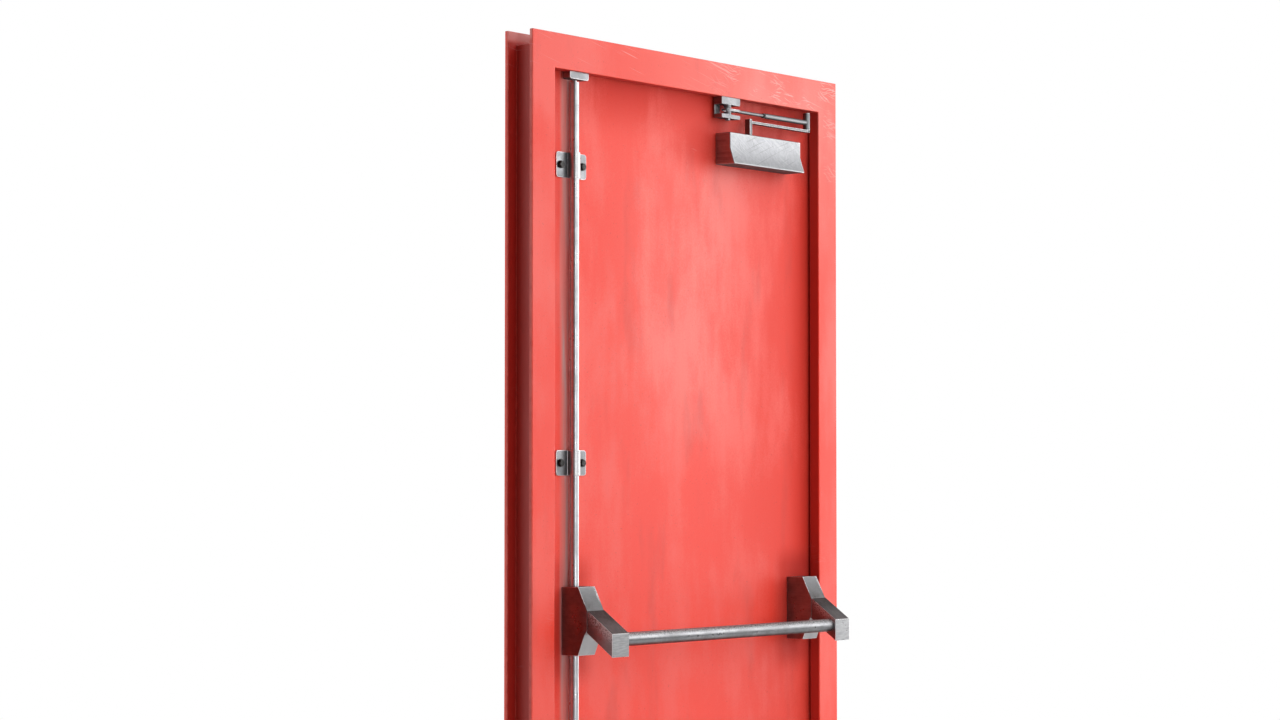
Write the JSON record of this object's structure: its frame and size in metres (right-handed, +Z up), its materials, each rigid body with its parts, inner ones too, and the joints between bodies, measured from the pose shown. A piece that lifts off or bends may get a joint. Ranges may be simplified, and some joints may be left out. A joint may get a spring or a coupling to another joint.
{
  "type": "steel exit door with frame, push bar and overhead closer",
  "caption": "Red steel exit door in a wall-clasping steel frame, with a push bar, vertical rods and an overhead closer; the leaf swings away from the push side.",
  "frame": {"origin": "on the floor under the middle of the frame, on the threshold's underside and at the middle of the wall's thickness", "axes": "+X along the wall towards the hinges, +Y through the wall the way the leaf opens, +Z up"},
  "size_m": [1, 0.1703, 2.1],
  "materials": {
    "red_paint": "semi-gloss red enamel, finely scratched, edges rubbed",
    "worn_steel": "brushed steel, hazy and scratched",
    "dark_steel": "blackened steel",
    "infill": "mineral fibre board"
  },
  "bodies": {
    "frame": {"back_casing_head": "red_paint", "back_casing_left": "red_paint", "back_casing_right": "red_paint", "closer_shoe": "worn_steel", "closer_shoe_pin": "worn_steel", "floor_keep": "worn_steel", "frame_hinge_bottom": "worn_steel", "frame_hinge_middle": "worn_steel", "frame_hinge_top": "worn_steel", "front_casing_head": "red_paint", "front_casing_left": "red_paint", "front_casing_right": "red_paint", "head_keep": "worn_steel", "head_rail": "red_paint", "left_post": "red_paint", "right_post": "red_paint", "stop_head": "red_paint", "stop_left": "red_paint", "stop_right": "red_paint", "threshold": "worn_steel"},
    "leaf": {"leaf_back_sheet": "red_paint", "leaf_front_pan": "red_paint", "leaf_hinge_bottom": "worn_steel", "leaf_hinge_middle": "worn_steel", "leaf_hinge_top": "worn_steel", "leaf_infill": "infill", "rod_guide_1": "worn_steel", "rod_guide_2": "worn_steel", "rod_guide_3": "worn_steel", "rod_guide_4": "worn_steel", "left_case": "worn_steel", "right_case": "worn_steel", "left_pivot_pin": "dark_steel", "right_pivot_pin": "dark_steel", "closer_body": "worn_steel", "closer_spindle": "worn_steel", "closer_main_arm": "worn_steel"},
    "push_bar": {"left_arm": "worn_steel", "right_arm": "worn_steel", "crossbar": "worn_steel"},
    "top_rod": {"top_rod": "worn_steel"},
    "bottom_rod": {"bottom_rod": "worn_steel"},
    "closer_forearm": {"elbow_post": "worn_steel", "forearm_tube": "worn_steel", "forearm_rod": "worn_steel"}
  },
  "joints": [
    {"name": "door_swing", "type": "hinge", "parent": "frame", "child": "leaf", "pos_m": [0.4485, 0.04, 1], "axis": [0, 0, -1], "range_deg": [0, 90], "stiffness_Nm_per_rad": 6, "springref_deg": -17.19},
    {"name": "bar_press", "type": "hinge", "parent": "leaf", "child": "push_bar", "pos_m": [0, -0.0473, 1.0079], "axis": [1, 0, 0], "range_deg": [0, 18], "stiffness_Nm_per_rad": 12, "springref_deg": -20.05},
    {"name": "top_rod_draw", "type": "slide", "parent": "leaf", "child": "top_rod", "axis": [0, 0, -1], "range_m": [0, 0.015]},
    {"name": "bottom_rod_draw", "type": "slide", "parent": "leaf", "child": "bottom_rod", "axis": [0, 0, 1], "range_m": [0, 0.015]},
    {"name": "closer_elbow", "type": "hinge", "parent": "leaf", "child": "closer_forearm", "pos_m": [0.4039, -0.024, 2], "axis": [0, 0, 1], "range_deg": [0, 113]}
  ],
  "couplings": [
    {"joint": "top_rod_draw", "follows": "bar_press", "m_per_rad": 0.0477},
    {"joint": "bottom_rod_draw", "follows": "bar_press", "m_per_rad": 0.0477},
    {"joint": "closer_elbow", "follows": "door_swing", "ratio": 1.254}
  ]
}
